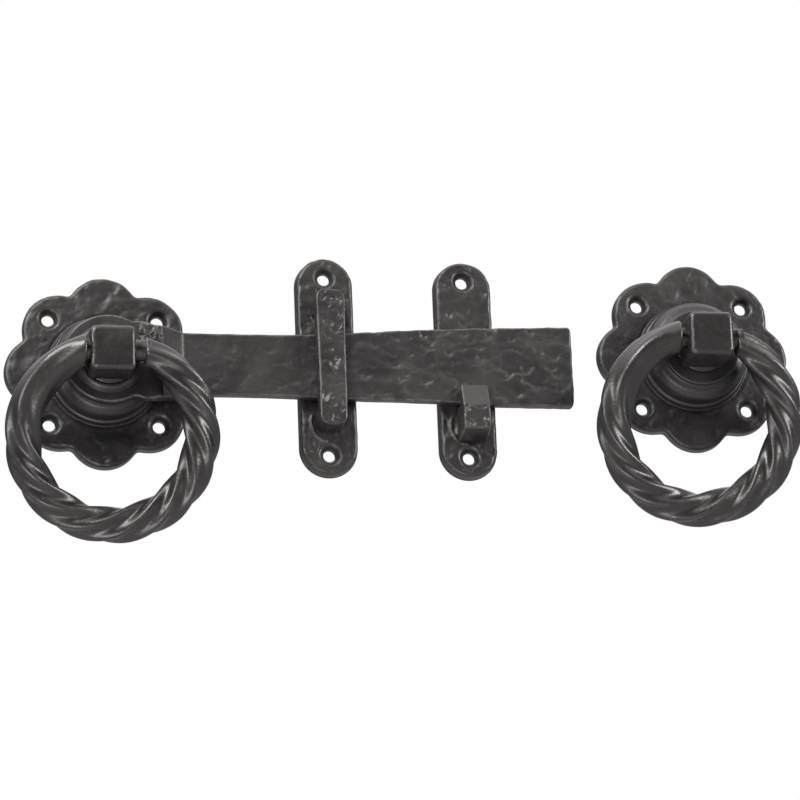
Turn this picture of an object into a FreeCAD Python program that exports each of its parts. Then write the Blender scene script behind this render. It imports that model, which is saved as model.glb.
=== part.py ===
import FreeCAD, Part
import math
import os
import Sketcher

# Ring-handled gate latch set, laid out on one vertical plane.
# The back faces of the four plates lie on y = 0 (the face of the gate), the fronts face -Y, +Z is up
# and the latch bar runs along +X.  The origin is the axis of the inner spindle on the gate face.
# Every depth below is measured from the gate face towards the front, as a positive number.

VECTOR = FreeCAD.Vector
X_AXIS = VECTOR(1, 0, 0)
Y_AXIS = VECTOR(0, 1, 0)
ORIGIN = VECTOR(0, 0, 0)

SIZES = {
    # roses: a ring of equal petals, a turned collar in the middle, hollow at the back
    "plate_thickness": 5.0,
    "petal_count": 8,
    "petal_radius": 14.2,
    "petal_ring_radius": 25.3,
    "screw_spacing": 43.5,
    "screw_hole_diameter": 5.0,
    "countersink_diameter": 10.0,
    "collar_base_radius": 22.0,
    "collar_top_radius": 15.7,
    "collar_height": 18.0,
    "collar_foot": 2.4,
    "collar_bulge_radius": 20.0,
    "collar_lip": 1.8,
    "recess_radius": 13.5,
    "recess_depth": 12.0,
    # turning bosses
    "journal_radius": 8.0,
    "running_clearance": 0.05,
    "face_gap": 0.2,
    "neck_radius": 10.8,
    "neck_length": 1.6,
    "head_base_side": 18.0,
    "head_front_side": 17.2,
    "head_depth": 17.6,
    "head_rounding": 1.5,
    "inner_pin_rise": 8.2,
    "outer_pin_rise": 9.0,
    "tenon_side": 14.0,
    "shank_end": 2.0,
    # retaining washer and spring clip behind each rose
    "washer_radius": 12.0,
    "washer_thickness": 1.5,
    "clip_radius": 10.2,
    "clip_thickness": 1.2,
    "clip_opening": 40.0,
    "groove_cut": 0.8,
    # square spindle and the pin that fixes it in the inner boss
    "spindle_side": 8.0,
    "socket_clearance": 0.1,
    "socket_floor": 16.0,
    "spindle_reach": 65.0,
    "spindle_pin_radius": 1.5,
    "spindle_pin_depth": 4.4,
    # rings and their pivot pins
    "ring_radius": 35.0,
    "end_drop": 0.3,
    "rod_radius": 7.4,
    "rod_end_radius": 6.8,
    "ring_side_gap": 2.5,
    "taper_angle": 32.0,
    "pin_radius": 4.2,
    "pin_grip": 2.5,
    "inner_ring_slide": 1.2,
    "inner_ring_shift": 1.0,
    "outer_ring_slide": 0.0,
    "outer_ring_shift": -2.4,
    # latch bar
    "hub_radius": 18.0,
    "hub_thickness": 4.4,
    "bar_thickness": 4.5,
    "bar_clearance": 1.0,
    "bar_length": 188.5,
    "bar_corner": 2.0,
    "step_start": 19.5,
    "step_end": 31.0,
    "tail_bottom": 16.4,
    "tail_top": 15.9,
    "arm_bottom": 10.4,
    "arm_top": 15.3,
    "flare_start": 68.0,
    "flare_middle": 128.0,
    "flare_middle_top": 19.2,
    "tip_bottom": 12.7,
    "tip_top": 21.4,
    "lug_start": 12.0,
    "lug_end": 22.2,
    "lug_bottom": 4.5,
    "lug_rise": 9.5,
    # guide and catch brackets
    "bracket_width": 23.6,
    "bracket_length": 91.2,
    "bracket_screw_inset": 8.6,
    "guide_x": 89.5,
    "guide_z": 4.6,
    "catch_x": 146.0,
    "catch_z": 4.5,
    "front_depth": 17.5,
    "strap_gap": 0.9,
    "loop_width": 11.0,
    "loop_length": 57.0,
    "loop_leg": 8.2,
    "loop_corner": 3.4,
    "hook_width": 10.4,
    "hook_offset": 0.9,
    "hook_top": 5.0,
    "hook_tip_depth": 13.2,
    "hook_ramp_end": 15.0,
    "hook_bottom": 24.2,
    "hook_flare": 2.6,
    "seat_gap": 0.3,
    # outer handle
    "outer_distance": 51.5,
    "outer_z": 11.4,
}

# Levels that follow from the sizes above, kept as cells so that every piece reads the same one.
LEVELS = {
    "hub_back": "=collar_height + face_gap",
    "hub_front": "=hub_back + hub_thickness",
    "inner_head_base": "=hub_front + neck_length",
    "outer_head_base": "=collar_height + face_gap + neck_length",
    "inner_pin_depth": "=inner_head_base + inner_pin_rise",
    "outer_pin_depth": "=outer_head_base + outer_pin_rise",
    "head_front": "=outer_head_base + head_depth",
    "groove_radius": "=journal_radius - groove_cut",
    "washer_front": "=recess_depth - face_gap",
    "clip_front": "=washer_front - washer_thickness - face_gap / 2",
    "bar_back": "=plate_thickness + bar_clearance",
    "bar_front": "=bar_back + bar_thickness",
    "strap_back": "=bar_front + strap_gap",
    "step_run": "=step_end - step_start",
    "step_fall": "=hub_front - bar_front",
    "step_length": "=sqrt(step_run * step_run + step_fall * step_fall)",
    "bar_bottom_at_hook":
        "=arm_bottom + (tip_bottom - arm_bottom) * (catch_x + hook_offset + hook_width / 2 - flare_start)"
        " / (bar_length - flare_start)",
    "ring_opening": "=head_base_side + 2 * ring_side_gap",
    "ring_drop": "=sqrt(ring_radius * ring_radius - ring_opening * ring_opening / 4) + end_drop",
    "ring_reach": "=ring_drop + ring_radius",
    "inner_lean": "=asin((inner_pin_depth - rod_radius) / ring_reach)",
    "outer_lean": "=asin((outer_pin_depth - rod_radius) / ring_reach)",
    "inner_right_end": "=ring_opening / 2 + inner_ring_slide",
    "inner_left_end": "=ring_opening / 2 - inner_ring_slide",
    "outer_right_end": "=ring_opening / 2 + outer_ring_slide",
    "outer_left_end": "=ring_opening / 2 - outer_ring_slide",
    "bracket_screw_spacing": "=bracket_length - 2 * bracket_screw_inset",
    "outer_x": "=bar_length + outer_distance",
}

doc = FreeCAD.newDocument("gate_latch")
sheet = doc.addObject("Spreadsheet::Sheet", "sizes")


def fill_sheet():
    """Write each size and each derived level into its own cell, with its name as the alias."""
    for row, (alias, value) in enumerate(list(SIZES.items()) + list(LEVELS.items()), start=1):
        sheet.set(f"A{row}", alias)
        sheet.set(f"B{row}", str(value))
        sheet.setAlias(f"B{row}", alias)
    doc.recompute()


def bind(item, **expressions):
    """Bind properties to expressions; a double underscore in the name stands for a dot."""
    for name, expression in expressions.items():
        item.setExpression(name.replace("__", "."), expression)


def place(item, across="0", depth="0", height="0"):
    """Stand an item at x = across, y = -depth, z = height."""
    bind(item, Placement__Base__x=across, Placement__Base__y=f"-({depth})", Placement__Base__z=height)


def plane_of(body, role):
    """The origin plane of a body with the given role."""
    return next(item for item in body.Origin.OriginFeatures if item.Role == role)


def new_sketch(body, name, role, level="0"):
    """A sketch on an origin plane of its body, moved along the plane's normal by the level."""
    sketch = body.newObject("Sketcher::SketchObject", name)
    sketch.AttachmentSupport = [(plane_of(body, role), "")]
    sketch.MapMode = "FlatFace"
    bind(sketch, AttachmentOffset__Base__z=level)
    return sketch


def add_circle(sketch, radius, across="0", height="0", start=0.0):
    """A circle in a sketch, with its radius and centre bound."""
    index = sketch.addGeometry(Part.Circle(VECTOR(start + 1, start + 2, 0), VECTOR(0, 0, 1), 1.0), False)
    marks = [
        sketch.addConstraint(Sketcher.Constraint("Radius", index, 1.0)),
        sketch.addConstraint(Sketcher.Constraint("DistanceX", -1, 1, index, 3, start + 1)),
        sketch.addConstraint(Sketcher.Constraint("DistanceY", -1, 1, index, 3, start + 2)),
    ]
    for mark, expression in zip(marks, (radius, across, height)):
        sketch.setExpression(f"Constraints[{mark}]", expression)
    return index


def add_polygon(sketch, corners):
    """A closed polygon in a sketch; each corner is a pair of expressions."""
    count = len(corners)
    turn = 2 * math.pi / count
    rough = [VECTOR(10 * math.cos(turn * i), 10 * math.sin(turn * i), 0) for i in range(count)]
    lines = []
    for i in range(count):
        lines.append(sketch.addGeometry(Part.LineSegment(rough[i], rough[(i + 1) % count]), False))
    for i in range(count):
        sketch.addConstraint(Sketcher.Constraint("Coincident", lines[i], 2, lines[(i + 1) % count], 1))
    for line, corner, point in zip(lines, corners, rough):
        across = sketch.addConstraint(Sketcher.Constraint("DistanceX", -1, 1, line, 1, point.x))
        up = sketch.addConstraint(Sketcher.Constraint("DistanceY", -1, 1, line, 1, point.y))
        sketch.setExpression(f"Constraints[{across}]", corner[0])
        sketch.setExpression(f"Constraints[{up}]", corner[1])


def pad(body, name, sketch, length):
    """A pad of a sketch along its normal."""
    feature = body.newObject("PartDesign::Pad", name)
    feature.Profile = sketch
    bind(feature, Length=length)
    return feature


def turned(body, name, kind, corners):
    """A revolution or groove about the body's Y axis; corners are (radius, depth) pairs."""
    sketch = new_sketch(body, f"{name}_profile", "XY_Plane")
    add_polygon(sketch, [(radius, f"-({depth})") for radius, depth in corners])
    feature = body.newObject(kind, name)
    feature.Profile = sketch
    feature.ReferenceAxis = (sketch, ["V_Axis"])
    feature.Angle = 360.0
    return feature


def square_block(body, name, kind, side, front, back):
    """A square block on the body's Y axis between two depths, added or cut away."""
    feature = body.newObject(kind, name)
    bind(feature, Length=side, Width=f"{front} - ({back})", Height=side)
    bind(feature, Placement__Base__x=f"-({side}) / 2", Placement__Base__z=f"-({side}) / 2")
    bind(feature, Placement__Base__y=f"-({front})")
    return feature


def cross_hole(body, name, radius, depth, length):
    """A round hole along X through the body's axis at the given depth."""
    feature = body.newObject("PartDesign::SubtractiveCylinder", name)
    feature.Placement = FreeCAD.Placement(ORIGIN, FreeCAD.Rotation(Y_AXIS, 90))
    bind(feature, Radius=radius, Height=length)
    bind(feature, Placement__Base__x=f"-({length}) / 2", Placement__Base__y=f"-({depth})")
    return feature


def screw_holes(body, name, centres, front):
    """Countersunk through holes, drilled from the front face."""
    sketch = new_sketch(body, f"{name}_centres", "XZ_Plane", front)
    for i, (across, height) in enumerate(centres):
        add_circle(sketch, "sizes.screw_hole_diameter / 2", across, height, start=3.0 * i)
    doc.recompute()
    hole = body.newObject("PartDesign::Hole", name)
    hole.Profile = sketch
    doc.recompute()
    hole.Threaded = False
    hole.DepthType = "ThroughAll"
    hole.HoleCutType = "Countersink"
    hole.HoleCutCustomValues = True
    hole.HoleCutCountersinkAngle = 90.0
    bind(hole, Diameter="sizes.screw_hole_diameter", HoleCutDiameter="sizes.countersink_diameter")
    return hole


def make_rose(label, across, height):
    """Petalled rose: disc, one petal repeated round it, turned collar, hollow back and screw holes."""
    body = doc.addObject("PartDesign::Body", label)
    disc = new_sketch(body, f"{label}_disc", "XZ_Plane")
    add_circle(disc, "sizes.petal_ring_radius")
    pad(body, f"{label}_plate", disc, "sizes.plate_thickness")
    petal = new_sketch(body, f"{label}_petal_circle", "XZ_Plane")
    add_circle(petal, "sizes.petal_radius", height="sizes.petal_ring_radius")
    petal_pad = pad(body, f"{label}_petal", petal, "sizes.plate_thickness")
    petals = body.newObject("PartDesign::PolarPattern", f"{label}_petals")
    petals.Originals = [petal_pad]
    petals.Axis = (petal, ["N_Axis"])
    petals.Angle = 360.0
    bind(petals, Occurrences="sizes.petal_count")
    body.Tip = petals
    foot = "sizes.plate_thickness + sizes.collar_foot"
    top = "sizes.collar_height"
    turned(body, f"{label}_collar", "PartDesign::Revolution", [
        ("0", "0"),
        ("sizes.collar_base_radius", "0"),
        ("sizes.collar_base_radius", foot),
        ("sizes.collar_bulge_radius", f"({foot} + {top} - sizes.collar_lip) / 2"),
        ("sizes.collar_top_radius + 1", f"{top} - sizes.collar_lip"),
        ("sizes.collar_top_radius", f"{top} - sizes.collar_lip"),
        ("sizes.collar_top_radius", top),
        ("0", top),
    ])
    bore = "sizes.journal_radius + sizes.running_clearance"
    turned(body, f"{label}_hollow", "PartDesign::Groove", [
        ("0", "-1"),
        ("sizes.recess_radius", "-1"),
        ("sizes.recess_radius", "sizes.recess_depth"),
        (bore, "sizes.recess_depth"),
        (bore, f"{top} + 1"),
        ("0", f"{top} + 1"),
    ])
    half = "sizes.screw_spacing / 2"
    corners = [(f"{i} * {half}", f"{j} * {half}") for i in (-1, 1) for j in (-1, 1)]
    body.Tip = screw_holes(body, f"{label}_screws", corners, "sizes.plate_thickness")
    place(body, across, "0", height)


def make_boss(label, side, tenon, across, height):
    """Turning boss: tapered square head, round neck and shank, clip groove, pin bore and socket."""
    body = doc.addObject("PartDesign::Body", label)
    head_base = f"sizes.{side}_head_base"
    head = body.newObject("PartDesign::AdditiveWedge", f"{label}_head")
    front = "sizes.head_front_side / 2"
    base = "sizes.head_base_side / 2"
    bind(head, Xmin=f"-{front}", Xmax=front, Zmin=f"-{front}", Zmax=front)
    bind(head, X2min=f"-{base}", X2max=base, Z2min=f"-{base}", Z2max=base)
    bind(head, Ymin="-sizes.head_front", Ymax=f"-({head_base})")
    doc.recompute()
    base_level = -max(vertex.Y for vertex in head.Shape.Vertexes)
    names = []
    for number, edge in enumerate(head.Shape.Edges, start=1):
        if min(-vertex.Y for vertex in edge.Vertexes) > base_level or edge_runs_back(edge):
            names.append(f"Edge{number}")
    rounding = body.newObject("PartDesign::Fillet", f"{label}_edges")
    rounding.Base = (head, names)
    bind(rounding, Radius="sizes.head_rounding")
    groove_front = "sizes.clip_front"
    groove_back = "sizes.clip_front - sizes.clip_thickness - sizes.face_gap / 2"
    neck_base = f"{head_base} - sizes.neck_length"
    shoulder = neck_base
    core = []
    if tenon:
        shoulder = "sizes.hub_back"
        core = [("sizes.tenon_side / 2", neck_base), ("sizes.tenon_side / 2", shoulder)]
    turned(body, f"{label}_shank", "PartDesign::Revolution", [
        ("0", f"{head_base} + 1"),
        ("sizes.journal_radius", f"{head_base} + 1"),
        ("sizes.journal_radius", f"{head_base}"),
        ("sizes.neck_radius", f"{head_base}"),
        ("sizes.neck_radius", neck_base),
        *core,
        ("sizes.journal_radius", shoulder),
        ("sizes.journal_radius", groove_front),
        ("sizes.groove_radius", groove_front),
        ("sizes.groove_radius", groove_back),
        ("sizes.journal_radius", groove_back),
        ("sizes.journal_radius", "sizes.shank_end"),
        ("0", "sizes.shank_end"),
    ])
    if tenon:
        square_block(body, f"{label}_tenon", "PartDesign::AdditiveBox",
                     "sizes.tenon_side", "sizes.hub_front", "sizes.hub_back")
    cross_hole(body, f"{label}_pin_bore", "sizes.pin_radius + sizes.running_clearance",
               f"sizes.{side}_pin_depth", "sizes.head_base_side + 2")
    square_block(body, f"{label}_socket", "PartDesign::SubtractiveBox",
                 "sizes.spindle_side + 2 * sizes.socket_clearance", "sizes.socket_floor", "0")
    if tenon:
        cross_hole(body, f"{label}_spindle_pin_hole", "sizes.spindle_pin_radius",
                   "sizes.spindle_pin_depth", "2 * sizes.journal_radius + 2")
    place(body, across, "0", height)


def edge_runs_back(edge):
    """True for an edge that joins the front and the base of the head."""
    depths = [vertex.Y for vertex in edge.Vertexes]
    return max(depths) - min(depths) > 1.0


def make_washer(label, across, height):
    """Flat washer on the shank, against the floor of the rose's recess."""
    body = doc.addObject("PartDesign::Body", label)
    sketch = new_sketch(body, f"{label}_rings", "XZ_Plane", "sizes.washer_front - sizes.washer_thickness")
    add_circle(sketch, "sizes.washer_radius")
    add_circle(sketch, "sizes.journal_radius + sizes.running_clearance", start=3.0)
    pad(body, f"{label}_disc", sketch, "sizes.washer_thickness")
    place(body, across, "0", height)


def make_clip(label, across, height):
    """Open spring clip in the groove of the shank, with its opening downwards."""
    outer = doc.addObject("Part::Cylinder", f"{label}_outer")
    bind(outer, Radius="sizes.clip_radius", Height="sizes.clip_thickness", Angle="360 - sizes.clip_opening")
    inner = doc.addObject("Part::Cylinder", f"{label}_inner")
    bind(inner, Radius="sizes.groove_radius", Height="sizes.clip_thickness")
    for item in (outer, inner):
        item.Placement = FreeCAD.Placement(ORIGIN, FreeCAD.Rotation(X_AXIS, 90))
    clip = doc.addObject("Part::Cut", label)
    clip.Base = outer
    clip.Tool = inner
    clip.Placement = FreeCAD.Placement(ORIGIN, FreeCAD.Rotation(Y_AXIS, 0))
    bind(clip, Placement__Rotation__Angle="90 - sizes.clip_opening / 2")
    place(clip, across, "sizes.clip_front - sizes.clip_thickness", height)


def ring_section(body, name, radius, across, height, turn):
    """A sketched circle across the ring's rod at a point of its circle, on a plane turned about Y."""
    sketch = body.newObject("Sketcher::SketchObject", name)
    sketch.Placement = FreeCAD.Placement(ORIGIN, FreeCAD.Rotation(Y_AXIS, 90))
    bind(sketch, Placement__Base__x=across, Placement__Base__z=height)
    bind(sketch, Placement__Rotation__Angle=f"90 + ({turn})")
    add_circle(sketch, radius)
    return sketch


def make_ring(label, side, across, height):
    """Drop ring: a long arc of round rod, a tapered end each side of the opening, and pin holes."""
    body = doc.addObject("PartDesign::Body", label)
    shift = f"sizes.{side}_ring_shift"
    rod = new_sketch(body, f"{label}_rod", "YZ_Plane", shift)
    add_circle(rod, "sizes.rod_radius", height="-(sizes.ring_drop + sizes.ring_radius)")
    axis = rod.addGeometry(Part.LineSegment(VECTOR(-5, -30, 0), VECTOR(5, -30, 0)), True)
    for point, across_centre in ((1, -5.0), (2, 5.0)):
        rod.addConstraint(Sketcher.Constraint("DistanceX", -1, 1, axis, point, across_centre))
        level = rod.addConstraint(Sketcher.Constraint("DistanceY", -1, 1, axis, point, -30.0))
        rod.setExpression(f"Constraints[{level}]", "-sizes.ring_drop")
    arc = body.newObject("PartDesign::Revolution", f"{label}_arc")
    arc.Profile = rod
    arc.ReferenceAxis = (rod, ["Axis0"])
    arc.Midplane = True
    bind(arc, Angle="360 - 2 * sizes.taper_angle")
    for sign, name in ((1, "right"), (-1, "left")):
        wide = ring_section(body, f"{label}_{name}_wide", "sizes.rod_radius",
                            f"{shift} + {sign} * sizes.ring_radius * sin(sizes.taper_angle)",
                            "sizes.ring_radius * cos(sizes.taper_angle) - sizes.ring_drop",
                            f"{sign} * sizes.taper_angle")
        end_across = f"{sign} * sizes.{side}_{name}_end"
        from_middle = f"({end_across} - {shift})"
        narrow = ring_section(body, f"{label}_{name}_narrow", "sizes.rod_end_radius", end_across,
                              f"sqrt(sizes.ring_radius * sizes.ring_radius - {from_middle} * {from_middle})"
                              " - sizes.ring_drop", "0")
        end = body.newObject("PartDesign::AdditiveLoft", f"{label}_{name}_end")
        end.Profile = wide
        end.Sections = [narrow]
        body.Tip = end
    holes = cross_hole(body, f"{label}_pin_holes", "sizes.pin_radius", "0",
                       "sizes.ring_opening + 2 * sizes.pin_grip")
    bind(holes, Placement__Base__x=f"sizes.{side}_ring_slide - sizes.ring_opening / 2 - sizes.pin_grip")
    body.Placement = FreeCAD.Placement(ORIGIN, FreeCAD.Rotation(X_AXIS, 10))
    bind(body, Placement__Rotation__Angle=f"sizes.{side}_lean")
    place(body, across, f"sizes.{side}_pin_depth", height)


def make_cross_pin(label, radius, length, across, depth, height):
    """A plain round pin along X, centred on a boss's axis."""
    pin = doc.addObject("Part::Cylinder", label)
    pin.Placement = FreeCAD.Placement(ORIGIN, FreeCAD.Rotation(Y_AXIS, 90))
    bind(pin, Radius=radius, Height=length)
    place(pin, f"{across} - ({length}) / 2", depth, height)


def make_spindle():
    """Square spindle through the gate, with its fixing hole near the front."""
    body = doc.addObject("PartDesign::Body", "spindle")
    square_block(body, "spindle_bar", "PartDesign::AdditiveBox",
                 "sizes.spindle_side", "sizes.socket_floor", "-sizes.spindle_reach")
    cross_hole(body, "spindle_hole", "sizes.spindle_pin_radius",
               "sizes.spindle_pin_depth", "2 * sizes.spindle_side")
    place(body)


def extruded(name, role, corners, start, length):
    """A polygon on a base plane, extruded along the plane's normal from a level."""
    sketch = doc.addObject("Sketcher::SketchObject", f"{name}_outline")
    turn = {"XY": 0, "XZ": 90}[role]
    sketch.Placement = FreeCAD.Placement(ORIGIN, FreeCAD.Rotation(X_AXIS, turn))
    add_polygon(sketch, corners)
    solid = doc.addObject("Part::Extrusion", name)
    solid.Base = sketch
    solid.DirMode = "Normal"
    solid.Solid = True
    bind(solid, LengthFwd=f"{start} + {length}", LengthRev=f"-({start})")
    return solid


def make_latch_bar():
    """Latch bar: its front outline and its stepped edge profile, each extruded, cross each other."""
    outline = extruded("bar_front_shape", "XZ", [
        ("0", "-sizes.tail_bottom"),
        ("sizes.step_start", "-sizes.tail_bottom"),
        ("sizes.step_end", "-sizes.arm_bottom"),
        ("sizes.flare_start", "-sizes.arm_bottom"),
        ("sizes.bar_length", "-sizes.tip_bottom"),
        ("sizes.bar_length", "sizes.tip_top"),
        ("sizes.flare_middle", "sizes.flare_middle_top"),
        ("sizes.flare_start", "sizes.arm_top"),
        ("sizes.step_end", "sizes.arm_top"),
        ("sizes.step_start", "sizes.tail_top - 2"),
        ("sizes.step_start / 2", "sizes.tail_top"),
        ("0", "sizes.tail_top"),
    ], "0", "sizes.hub_front")
    hub = doc.addObject("Part::Cylinder", "bar_hub")
    hub.Placement = FreeCAD.Placement(ORIGIN, FreeCAD.Rotation(X_AXIS, 90))
    bind(hub, Radius="sizes.hub_radius", Height="sizes.hub_front")
    silhouette = doc.addObject("Part::Fuse", "bar_silhouette")
    silhouette.Base = outline
    silhouette.Tool = hub
    run_back = "sizes.step_start - sizes.bar_thickness * sizes.step_length / sizes.step_fall"
    slope = "sizes.step_run / sizes.step_fall"
    side = extruded("bar_side_shape", "XY", [
        ("-2 * sizes.hub_radius", "-sizes.hub_front"),
        ("sizes.step_start", "-sizes.hub_front"),
        ("sizes.step_end", "-sizes.bar_front"),
        ("sizes.bar_length + 1", "-sizes.bar_front"),
        ("sizes.bar_length + 1", "-sizes.bar_back"),
        (f"{run_back} + {slope} * (sizes.hub_front - sizes.bar_back)", "-sizes.bar_back"),
        (f"{run_back} + {slope} * (sizes.hub_front - sizes.hub_back)", "-sizes.hub_back"),
        ("-2 * sizes.hub_radius", "-sizes.hub_back"),
    ], "-2 * sizes.hub_radius", "4 * sizes.hub_radius")
    plain = doc.addObject("Part::Common", "bar_plain")
    plain.Base = silhouette
    plain.Tool = side
    doc.recompute()
    rounded = doc.addObject("Part::Fillet", "bar_rounded")
    rounded.Base = plain
    tip = plain.Shape.BoundBox.XMax
    corner = SIZES["bar_corner"]
    rounded.Edges = [
        (number, corner, corner)
        for number, edge in enumerate(plain.Shape.Edges, start=1)
        if min(vertex.X for vertex in edge.Vertexes) > tip - 0.01 and edge_runs_back(edge)
    ]
    lug = doc.addObject("Part::Box", "bar_lug")
    bind(lug, Length="sizes.lug_end - sizes.lug_start", Width="sizes.hub_thickness", Height="sizes.lug_rise")
    place(lug, "sizes.lug_start", "sizes.hub_front", "sizes.lug_bottom")
    body = doc.addObject("Part::Fuse", "bar_body")
    body.Base = rounded
    body.Tool = lug
    hole = doc.addObject("Part::Box", "bar_square_hole")
    bind(hole, Length="sizes.tenon_side", Width="2 * sizes.hub_thickness", Height="sizes.tenon_side")
    place(hole, "-sizes.tenon_side / 2", "sizes.hub_front + 1", "-sizes.tenon_side / 2")
    bar = doc.addObject("Part::Cut", "latch_bar")
    bar.Base = body
    bar.Tool = hole


def add_round_ended_plate(body, label):
    """The plate shared by both brackets: straight sides and half-round ends."""
    half = "sizes.bracket_width / 2"
    reach = "(sizes.bracket_length - sizes.bracket_width) / 2"
    middle = new_sketch(body, f"{label}_middle", "XZ_Plane")
    add_polygon(middle, [(f"-{half}", f"-{reach}"), (half, f"-{reach}"), (half, reach), (f"-{half}", reach)])
    pad(body, f"{label}_plate", middle, "sizes.plate_thickness")
    for sign, name in (("", "upper"), ("-", "lower")):
        end = new_sketch(body, f"{label}_{name}_circle", "XZ_Plane")
        add_circle(end, half, height=f"{sign}{reach}")
        pad(body, f"{label}_{name}_end", end, "sizes.plate_thickness")


def block(body, name, kind, width, low, high, back, front):
    """A block centred across the bracket, between two heights and two depths, added or cut away."""
    feature = body.newObject(kind, name)
    bind(feature, Length=width, Width=f"{front} - ({back})", Height=f"{high} - ({low})")
    bind(feature, Placement__Base__x=f"-({width}) / 2", Placement__Base__y=f"-({front})")
    bind(feature, Placement__Base__z=low)
    return feature


def bracket_screw_holes(body, label):
    """One countersunk screw hole near each end of a bracket."""
    half = "sizes.bracket_screw_spacing / 2"
    return screw_holes(body, f"{label}_screws", [("0", half), ("0", f"-{half}")], "sizes.plate_thickness")


def make_guide_bracket():
    """Guide: plate with a tall loop that the bar runs in, its outer corners rounded."""
    label = "guide_bracket"
    body = doc.addObject("PartDesign::Body", label)
    add_round_ended_plate(body, label)
    half = "sizes.loop_length / 2"
    loop = block(body, f"{label}_loop", "PartDesign::AdditiveBox", "sizes.loop_width",
                 f"-{half}", half, "sizes.plate_thickness / 2", "sizes.front_depth")
    doc.recompute()
    long_edges = [
        f"Edge{number}"
        for number, edge in enumerate(loop.Shape.Edges, start=1)
        if edge_runs_back(edge) and edge.Length > SIZES["plate_thickness"] + 0.5
    ]
    rounding = body.newObject("PartDesign::Fillet", f"{label}_corners")
    rounding.Base = (loop, long_edges)
    bind(rounding, Radius="sizes.loop_corner")
    block(body, f"{label}_opening", "PartDesign::SubtractiveBox", "2 * sizes.loop_width",
          f"-({half} - sizes.loop_leg)", f"{half} - sizes.loop_leg", "sizes.plate_thickness", "sizes.strap_back")
    body.Tip = bracket_screw_holes(body, label)
    place(body, "sizes.guide_x", "0", "sizes.guide_z")


def make_catch_bracket():
    """Catch: plate with a hook whose ramp lifts the bar and whose seat holds it."""
    label = "catch_bracket"
    body = doc.addObject("PartDesign::Body", label)
    add_round_ended_plate(body, label)
    seat = "-(sizes.bar_bottom_at_hook + sizes.seat_gap) - sizes.catch_z"
    root = "-sizes.plate_thickness / 2"
    profile = new_sketch(body, f"{label}_hook_profile", "YZ_Plane", "sizes.hook_offset - sizes.hook_width / 2")
    add_polygon(profile, [
        (root, "-(sizes.hook_bottom + sizes.hook_flare) - sizes.catch_z"),
        ("-sizes.plate_thickness", "-(sizes.hook_bottom + sizes.hook_flare) - sizes.catch_z"),
        ("-sizes.front_depth", "-sizes.hook_bottom - sizes.catch_z"),
        ("-sizes.front_depth", "-sizes.hook_ramp_end - sizes.catch_z"),
        ("-sizes.hook_tip_depth", "-sizes.hook_top - sizes.catch_z"),
        ("-sizes.strap_back", "-sizes.hook_top - sizes.catch_z"),
        ("-sizes.strap_back", seat),
        (root, seat),
    ])
    pad(body, f"{label}_hook", profile, "sizes.hook_width")
    body.Tip = bracket_screw_holes(body, label)
    place(body, "sizes.catch_x", "0", "sizes.catch_z")


NODES = (
    "inner_rose", "inner_boss", "inner_washer", "inner_clip", "inner_ring", "inner_pivot_pin",
    "latch_bar", "spindle", "spindle_pin", "guide_bracket", "catch_bracket",
    "outer_rose", "outer_boss", "outer_washer", "outer_clip", "outer_ring", "outer_pivot_pin",
)


def make_handle(side, across, height, tenon):
    """One handle: rose, boss, washer, clip, ring and pivot pin on one spindle axis."""
    make_rose(f"{side}_rose", across, height)
    make_boss(f"{side}_boss", side, tenon, across, height)
    make_washer(f"{side}_washer", across, height)
    make_clip(f"{side}_clip", across, height)
    make_ring(f"{side}_ring", side, across, height)
    make_cross_pin(f"{side}_pivot_pin", "sizes.pin_radius", "sizes.ring_opening + 2 * sizes.pin_grip",
                   f"{across} + sizes.{side}_ring_slide", f"sizes.{side}_pin_depth", height)


def check_and_export():
    """Stop on any failed object or bad shape; otherwise write one file for each node."""
    for item in doc.Objects:
        if "Invalid" in item.State or "Error" in item.State:
            raise RuntimeError(f"{item.Name} failed: {item.State}")
    for name in NODES:
        shape = doc.getObject(name).Shape
        if shape.isNull() or not shape.isValid() or len(shape.Solids) != 1:
            raise RuntimeError(f"{name} has no single valid solid")
    os.makedirs("parts", exist_ok=True)
    for name in NODES:
        item = doc.getObject(name)
        item.Label = name
        item.Shape.exportStep(f"parts/{name}.step")
        box = item.Shape.BoundBox
        print(f"{name}: volume {item.Shape.Volume:.0f}, x {box.XMin:.2f} {box.XMax:.2f}, "
              f"y {box.YMin:.2f} {box.YMax:.2f}, z {box.ZMin:.2f} {box.ZMax:.2f}")


fill_sheet()
make_handle("inner", "0", "0", True)
make_handle("outer", "sizes.outer_x", "sizes.outer_z", False)
make_spindle()
make_cross_pin("spindle_pin", "sizes.spindle_pin_radius", "2 * sizes.journal_radius - 1",
               "0", "sizes.spindle_pin_depth", "0")
make_latch_bar()
make_guide_bracket()
make_catch_bracket()
doc.recompute()
check_and_export()
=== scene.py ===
import math

import bpy
import numpy as np
from mathutils import Matrix, Vector


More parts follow.
